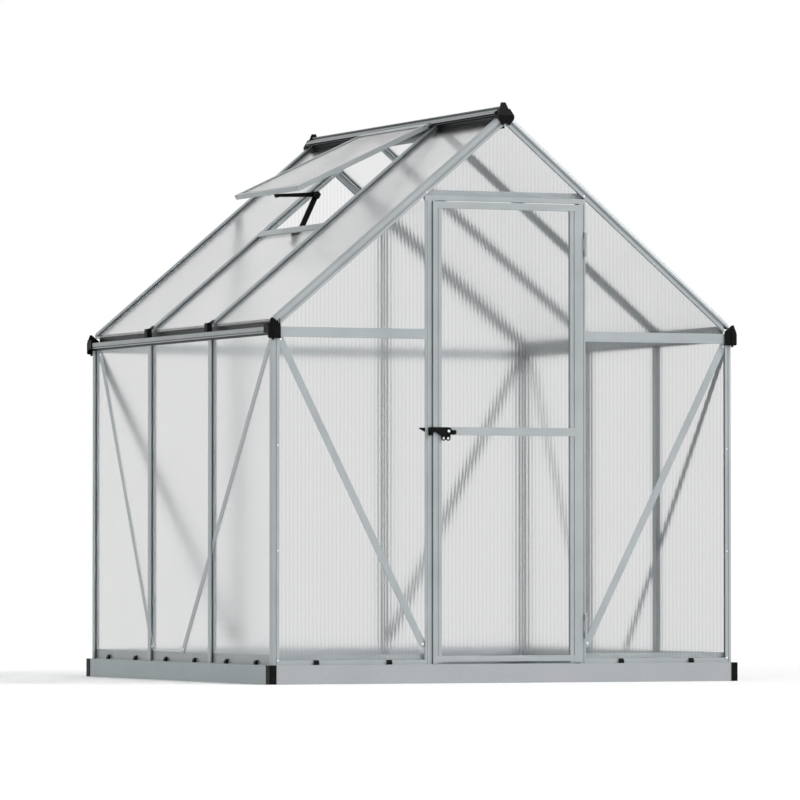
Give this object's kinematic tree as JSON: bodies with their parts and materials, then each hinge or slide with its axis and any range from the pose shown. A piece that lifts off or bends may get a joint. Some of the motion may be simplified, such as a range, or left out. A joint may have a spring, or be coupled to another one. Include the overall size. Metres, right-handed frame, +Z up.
{
  "type": "greenhouse",
  "caption": "Walk-in garden greenhouse: aluminium frame on a plinth, twin-wall clear panels, pitched roof, hinged door with a turning latch, and a propped roof vent.",
  "frame": {"origin": "centre of the footprint, on the ground", "axes": "+Z up, +X to the right along the door front, +Y from the door front to the back"},
  "size_m": [1.858, 1.854, 2.0984],
  "materials": {
    "frame_metal": "mill, satin",
    "plinth_metal": "galvanised sheet",
    "wall_sheet": "clear twin-wall sheet",
    "roof_sheet": "clear twin-wall sheet, slightly diffusing",
    "black_plastic": "moulded, fine grain",
    "steel": "zinc plated"
  },
  "bodies": {
    "house": {"brace_bolts": "steel", "braces_gables": "frame_metal", "braces_sides": "frame_metal", "corner_posts": "frame_metal", "door_header": "frame_metal", "door_jambs": "frame_metal", "frame_screws": "steel", "gable_panels_back": "wall_sheet", "gable_panels_front": "wall_sheet", "gable_rafters_back": "frame_metal", "gable_rafters_front": "frame_metal", "gutter_end_caps": "black_plastic", "gutter_left": "frame_metal", "gutter_right": "frame_metal", "hinge_jamb_leaves": "frame_metal", "hinge_pins": "steel", "latch_keeper": "black_plastic", "panel_clips": "black_plastic", "plinth_corner_caps": "black_plastic", "plinth_rail_back": "plinth_metal", "plinth_rail_front": "plinth_metal", "plinth_rail_left": "plinth_metal", "plinth_rail_right": "plinth_metal", "rafter_foot_clips": "black_plastic", "ridge_beam": "frame_metal", "ridge_end_caps": "black_plastic", "roof_panels_left": "roof_sheet", "roof_panels_right": "roof_sheet", "roof_rafters": "frame_metal", "sill_rails_back": "frame_metal", "sill_rails_front": "frame_metal", "sill_rails_sides": "frame_metal", "stay_sill_bracket": "black_plastic", "tie_rails_back": "frame_metal", "tie_rails_front": "frame_metal", "vent_sill": "frame_metal", "wall_panels_back": "wall_sheet", "wall_panels_front": "wall_sheet", "wall_panels_left": "wall_sheet", "wall_panels_right": "wall_sheet", "wall_posts_back": "frame_metal", "wall_posts_sides": "frame_metal"},
    "door": {"door_stile_latch_side": "frame_metal", "door_stile_hinge_side": "frame_metal", "door_bottom_rail": "frame_metal", "door_middle_rail": "frame_metal", "door_top_rail": "frame_metal", "door_panels": "wall_sheet", "hinge_door_leaves": "frame_metal", "latch_plate": "black_plastic", "latch_pivot_screw": "steel"},
    "latch": {"latch_lever": "black_plastic"},
    "vent": {"vent_hinge_rail": "frame_metal", "vent_bottom_rail": "frame_metal", "vent_side_rails": "frame_metal", "vent_panel": "roof_sheet", "stay_vent_bracket": "black_plastic"},
    "stay_lower": {"stay_lower_link": "black_plastic", "stay_elbow_knob": "black_plastic"},
    "stay_upper": {"stay_upper_link": "black_plastic"}
  },
  "joints": [
    {"name": "door_hinge", "type": "hinge", "parent": "house", "child": "door", "pos_m": [0.314, -0.92, 0.9055], "axis": [0, 0, 1], "range_deg": [0, 110]},
    {"name": "latch_turn", "type": "hinge", "parent": "door", "child": "latch", "pos_m": [-0.231, -0.9213, 0.9055], "axis": [0, 1, 0], "range_deg": [-3, 60]},
    {"name": "vent_hinge", "type": "hinge", "parent": "house", "child": "vent", "pos_m": [-0.029, 0, 2.05706], "axis": [0, 1, 0], "range_deg": [-14.8, 0]},
    {"name": "stay_lower_turn", "type": "hinge", "parent": "house", "child": "stay_lower", "pos_m": [-0.44895, 0, 1.61591], "axis": [0, 1, 0], "range_deg": [-0.1, 19]},
    {"name": "stay_upper_turn", "type": "hinge", "parent": "vent", "child": "stay_upper", "pos_m": [-0.52368, 0, 1.79775], "axis": [0, 1, 0], "range_deg": [-14.8, 0.1]}
  ],
  "couplings": [
    {"joint": "stay_lower_turn", "follows": "vent_hinge", "ratio": -1.28},
    {"joint": "stay_upper_turn", "follows": "vent_hinge", "ratio": 0.991}
  ]
}
